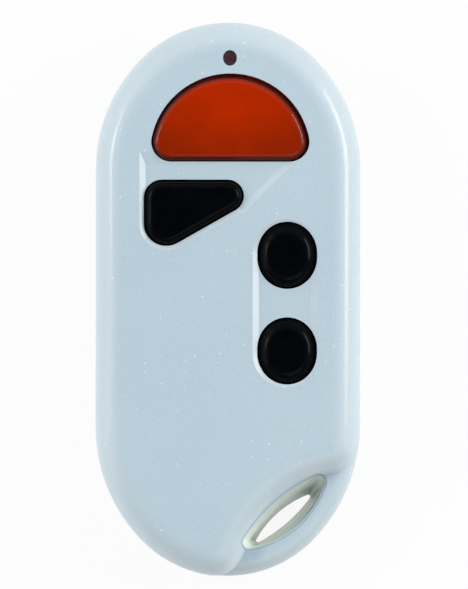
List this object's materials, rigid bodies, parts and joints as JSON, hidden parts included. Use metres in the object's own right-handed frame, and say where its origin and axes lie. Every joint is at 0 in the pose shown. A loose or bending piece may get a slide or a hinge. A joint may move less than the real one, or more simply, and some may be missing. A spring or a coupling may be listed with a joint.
{
  "type": "garage door remote",
  "caption": "Flat pocket radio remote with rounded ends, raised press buttons, a status window and a lens-shaped key-ring slot in one lower corner.",
  "frame": {"origin": "middle of the outline's box, on the flat back that the remote rests on", "axes": "+Z out of the face towards the user, +Y up the face towards the red button, +X to the right of the face"},
  "size_m": [0.036, 0.0754, 0.0123],
  "materials": {
    "pearl_paint": "pearl pale-blue gloss paint with fine flakes on moulded plastic",
    "red_plastic": "gloss translucent orange-red",
    "black_plastic": "gloss black",
    "window_plastic": "gloss dark red",
    "led_plastic": "clear resin on a white base",
    "board_resin": "green solder mask",
    "tinned_metal": "tinned",
    "cell_steel": "bright nickel",
    "spring_steel": "nickel plated spring steel",
    "chip_resin": "matte moulding resin",
    "trimmer_plastic": "amber",
    "copper_trace": "bare copper",
    "capacitor_body": "tan ceramic body",
    "screw_steel": "zinc plated",
    "switch_plastic": "black moulding",
    "stem_plastic": "ivory moulding"
  },
  "bodies": {
    "case": {"front_shell": "pearl_paint", "rear_shell": "pearl_paint", "status_window": "window_plastic", "status_led": "led_plastic", "circuit_board": "board_resin", "switch_terminals": "tinned_metal", "coin_cell": "cell_steel", "positive_clip": "spring_steel", "negative_contact": "spring_steel", "controller_chip": "chip_resin", "saw_resonator": "tinned_metal", "rf_transistor": "chip_resin", "trimmer_capacitor": "trimmer_plastic", "antenna_loop": "copper_trace", "chip_resistors": "chip_resin", "chip_capacitors": "capacitor_body", "case_screws": "screw_steel", "switch_base_red": "switch_plastic", "switch_disc_red": "spring_steel", "switch_cover_red": "tinned_metal", "switch_base_wedge": "switch_plastic", "switch_disc_wedge": "spring_steel", "switch_cover_wedge": "tinned_metal", "switch_base_upper_round": "switch_plastic", "switch_disc_upper_round": "spring_steel", "switch_cover_upper_round": "tinned_metal", "switch_base_lower_round": "switch_plastic", "switch_disc_lower_round": "spring_steel", "switch_cover_lower_round": "tinned_metal"},
    "red_cap": {"red_button": "red_plastic"},
    "red_stem": {"switch_stem_red": "stem_plastic"},
    "wedge_cap": {"wedge_button": "black_plastic"},
    "wedge_stem": {"switch_stem_wedge": "stem_plastic"},
    "upper_round_cap": {"upper_round_button": "black_plastic"},
    "upper_round_stem": {"switch_stem_upper_round": "stem_plastic"},
    "lower_round_cap": {"lower_round_button": "black_plastic"},
    "lower_round_stem": {"switch_stem_lower_round": "stem_plastic"}
  },
  "joints": [
    {"name": "red_press", "type": "slide", "parent": "case", "child": "red_cap", "axis": [0, 0, -1], "range_m": [0, 0.0003], "stiffness_N_per_m": 2000},
    {"name": "red_stem_press", "type": "slide", "parent": "case", "child": "red_stem", "axis": [0, 0, -1], "range_m": [0, 0.0003], "deforming": ["switch_disc_red"]},
    {"name": "wedge_press", "type": "slide", "parent": "case", "child": "wedge_cap", "axis": [0, 0, -1], "range_m": [0, 0.0003], "stiffness_N_per_m": 2000},
    {"name": "wedge_stem_press", "type": "slide", "parent": "case", "child": "wedge_stem", "axis": [0, 0, -1], "range_m": [0, 0.0003], "deforming": ["switch_disc_wedge"]},
    {"name": "upper_round_press", "type": "slide", "parent": "case", "child": "upper_round_cap", "axis": [0, 0, -1], "range_m": [0, 0.0003], "stiffness_N_per_m": 2000},
    {"name": "upper_round_stem_press", "type": "slide", "parent": "case", "child": "upper_round_stem", "axis": [0, 0, -1], "range_m": [0, 0.0003], "deforming": ["switch_disc_upper_round"]},
    {"name": "lower_round_press", "type": "slide", "parent": "case", "child": "lower_round_cap", "axis": [0, 0, -1], "range_m": [0, 0.0003], "stiffness_N_per_m": 2000},
    {"name": "lower_round_stem_press", "type": "slide", "parent": "case", "child": "lower_round_stem", "axis": [0, 0, -1], "range_m": [0, 0.0003], "deforming": ["switch_disc_lower_round"]}
  ],
  "couplings": [
    {"joint": "red_stem_press", "follows": "red_press", "ratio": 1},
    {"joint": "wedge_stem_press", "follows": "wedge_press", "ratio": 1},
    {"joint": "upper_round_stem_press", "follows": "upper_round_press", "ratio": 1},
    {"joint": "lower_round_stem_press", "follows": "lower_round_press", "ratio": 1}
  ]
}
